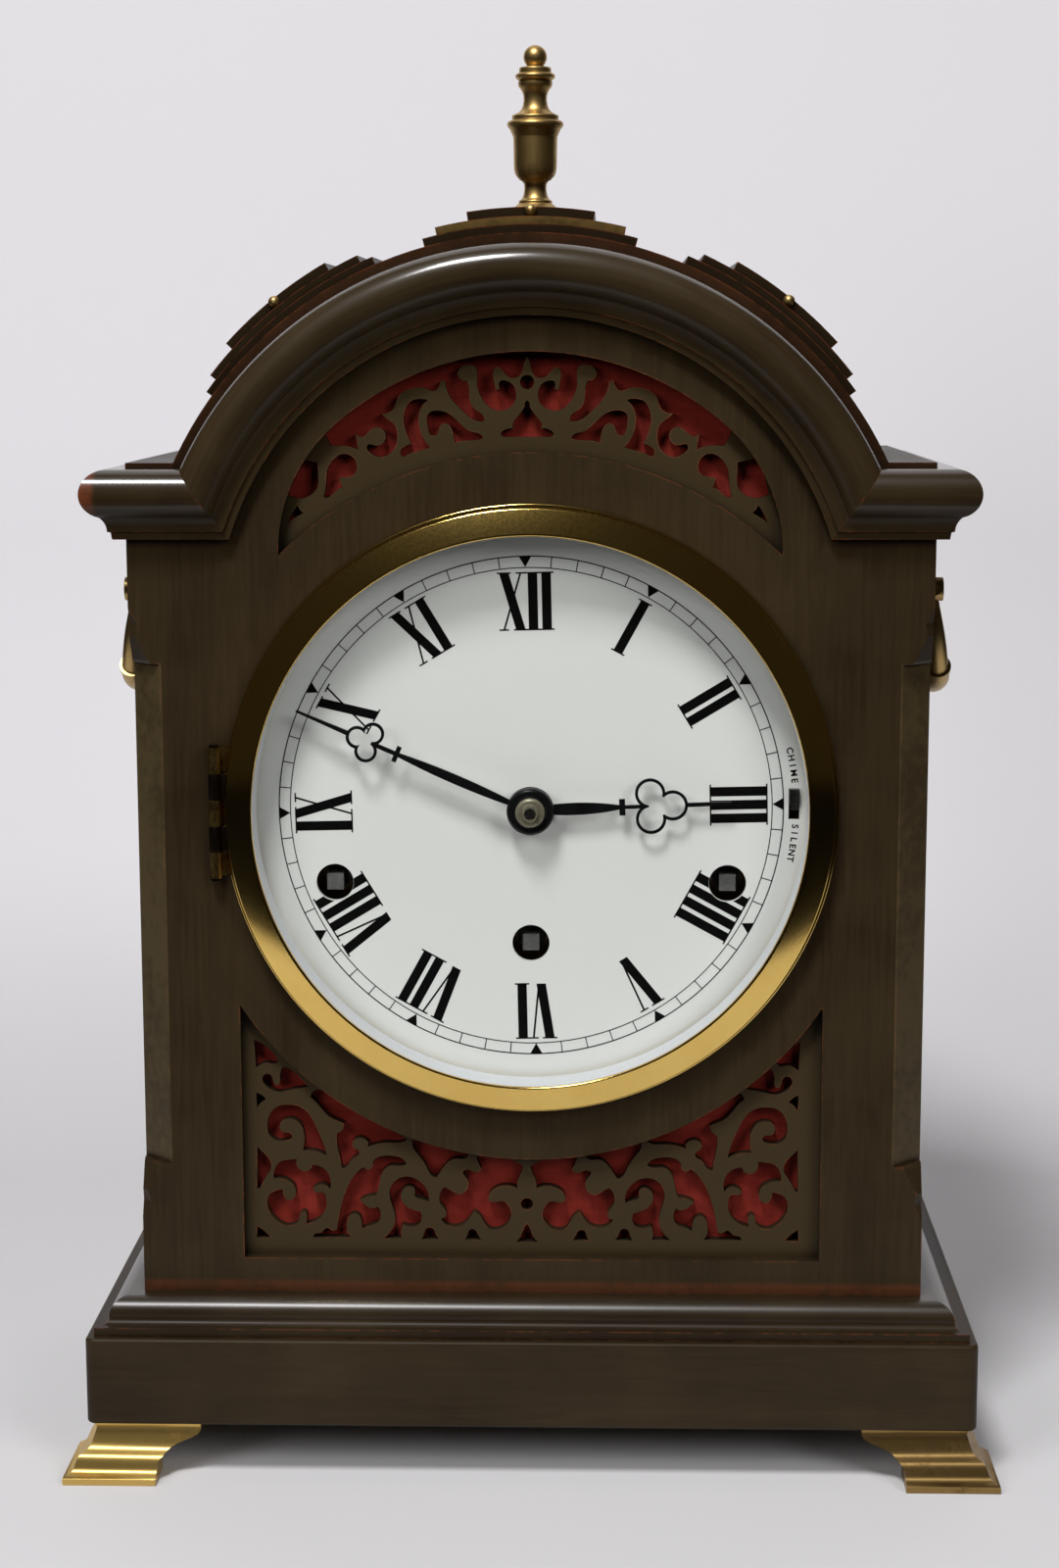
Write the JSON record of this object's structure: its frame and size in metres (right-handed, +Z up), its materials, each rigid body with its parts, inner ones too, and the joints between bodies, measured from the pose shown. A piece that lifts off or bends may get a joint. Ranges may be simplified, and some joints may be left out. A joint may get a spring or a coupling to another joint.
{
  "type": "mantel clock",
  "caption": "Break-arch mantel clock: dark moulded wooden case, pierced frets over red cloth, hinged brass bezel and glass, white Roman dial, chiming movement, brass handles, feet and finial.",
  "frame": {"origin": "under the middle of the feet, on the surface they stand on", "axes": "+Z up, +X to the right as seen from the front, +Y towards the back; the dial looks along -Y"},
  "size_m": [0.2516, 0.1576, 0.3848],
  "materials": {
    "case_wood": "dark brown-olive stained finish, orange-brown where worn",
    "moulding_wood": "dark olive-brown painted moulding, worn on its edges",
    "fret_wood": "grey-green stained, pale at sawn edges",
    "plain_wood": "unfinished",
    "red_cloth": "fine red cloth",
    "polished_brass": "polished and lacquered",
    "aged_brass": "toned antique",
    "movement_brass": "machined",
    "steel": "machined",
    "black_steel": "black, smooth",
    "dial_white": "white, satin",
    "clear_glass": "clear, polished"
  },
  "bodies": {
    "case": {"base_block": "case_wood", "base_moulding": "moulding_wood", "front_board": "case_wood", "left_side": "case_wood", "right_side": "case_wood", "case_floor": "plain_wood", "back_frame": "case_wood", "arch_roof": "case_wood", "right_shoulder": "case_wood", "left_shoulder": "case_wood", "cornice_arch": "moulding_wood", "cornice_right": "moulding_wood", "cornice_left": "moulding_wood", "left_pad": "case_wood", "centre_pad": "case_wood", "right_pad": "case_wood", "pad_studs": "aged_brass", "finial": "aged_brass", "front_right_foot": "aged_brass", "front_left_foot": "aged_brass", "rear_right_foot": "aged_brass", "rear_left_foot": "aged_brass", "bezel_hinge_leaf": "polished_brass", "bezel_hinge_pin": "polished_brass", "dial_plate": "dial_white", "front_plate": "movement_brass", "back_plate": "movement_brass", "movement_pillars": "movement_brass", "seat_board": "plain_wood", "lower_fret": "fret_wood", "lower_cloth": "red_cloth", "upper_fret": "fret_wood", "upper_cloth": "red_cloth", "right_posts": "aged_brass", "left_posts": "aged_brass", "back_hinge_frames": "movement_brass", "back_hinge_pins": "steel"},
    "bezel": {"bezel_ring": "polished_brass", "bezel_glass": "clear_glass"},
    "back_door": {"back_door": "case_wood", "back_hinge_flaps": "movement_brass", "door_knob": "movement_brass"},
    "right_handle": {"right_bail": "aged_brass"},
    "left_handle": {"left_bail": "aged_brass"},
    "minute_group": {"cannon_pinion": "steel", "minute_hand": "black_steel", "hand_bush": "black_steel", "hand_nut": "steel", "centre_arbor": "steel"},
    "minute_wheel": {"minute_wheel": "movement_brass"},
    "hour_group": {"hour_wheel": "movement_brass", "hour_hand": "black_steel"},
    "strike_barrel": {"strike_barrel": "movement_brass"},
    "time_barrel": {"time_barrel": "movement_brass"},
    "chime_barrel": {"chime_barrel": "movement_brass"},
    "strike_arbor": {"strike_arbor": "steel"},
    "time_arbor": {"time_arbor": "steel"},
    "chime_arbor": {"chime_arbor": "steel"},
    "chime_lever": {"chime_lever": "movement_brass"}
  },
  "joints": [
    {"name": "bezel_hinge", "type": "hinge", "parent": "case", "child": "bezel", "pos_m": [-0.0834, -0.0615, 0.1808], "axis": [0, 0, -1], "range_deg": [0, 110]},
    {"name": "back_door_hinge", "type": "hinge", "parent": "case", "child": "back_door", "pos_m": [0.084, 0.0717, 0.14], "axis": [0, 0, -1], "range_deg": [0, 100]},
    {"name": "right_handle_pivot", "type": "hinge", "parent": "case", "child": "right_handle", "pos_m": [0.1086, 0, 0.2376], "axis": [0, -1, 0], "range_deg": [0, 100]},
    {"name": "left_handle_pivot", "type": "hinge", "parent": "case", "child": "left_handle", "pos_m": [-0.1086, 0, 0.2376], "axis": [0, 1, 0], "range_deg": [0, 100]},
    {"name": "minute_turn", "type": "hinge", "parent": "case", "child": "minute_group", "pos_m": [0, -0.05, 0.1808], "axis": [0, 1, 0], "continuous": true},
    {"name": "minute_wheel_turn", "type": "hinge", "parent": "case", "child": "minute_wheel", "pos_m": [0.01018, -0.043, 0.19098], "axis": [0, 1, 0], "continuous": true},
    {"name": "hour_turn", "type": "hinge", "parent": "case", "child": "hour_group", "pos_m": [0, -0.05, 0.1808], "axis": [0, 1, 0], "continuous": true},
    {"name": "chime_lever_slide", "type": "slide", "parent": "case", "child": "chime_lever", "axis": [0, 0, -1], "range_m": [0, 0.004]},
    {"name": "strike_barrel_turn", "type": "hinge", "parent": "case", "child": "strike_barrel", "pos_m": [-0.0526, -0.0165, 0.1606], "axis": [0, 1, 0], "continuous": true},
    {"name": "strike_arbor_turn", "type": "hinge", "parent": "case", "child": "strike_arbor", "pos_m": [-0.0526, -0.0165, 0.1606], "axis": [0, 1, 0], "continuous": true},
    {"name": "time_barrel_turn", "type": "hinge", "parent": "case", "child": "time_barrel", "pos_m": [0, -0.0165, 0.1441], "axis": [0, 1, 0], "continuous": true},
    {"name": "time_arbor_turn", "type": "hinge", "parent": "case", "child": "time_arbor", "pos_m": [0, -0.0165, 0.1441], "axis": [0, 1, 0], "continuous": true},
    {"name": "chime_barrel_turn", "type": "hinge", "parent": "case", "child": "chime_barrel", "pos_m": [0.0526, -0.0165, 0.1606], "axis": [0, 1, 0], "continuous": true},
    {"name": "chime_arbor_turn", "type": "hinge", "parent": "case", "child": "chime_arbor", "pos_m": [0.0526, -0.0165, 0.1606], "axis": [0, 1, 0], "continuous": true}
  ],
  "couplings": [
    {"joint": "minute_wheel_turn", "follows": "minute_turn", "ratio": -0.33333},
    {"joint": "hour_turn", "follows": "minute_turn", "ratio": 0.083333}
  ]
}
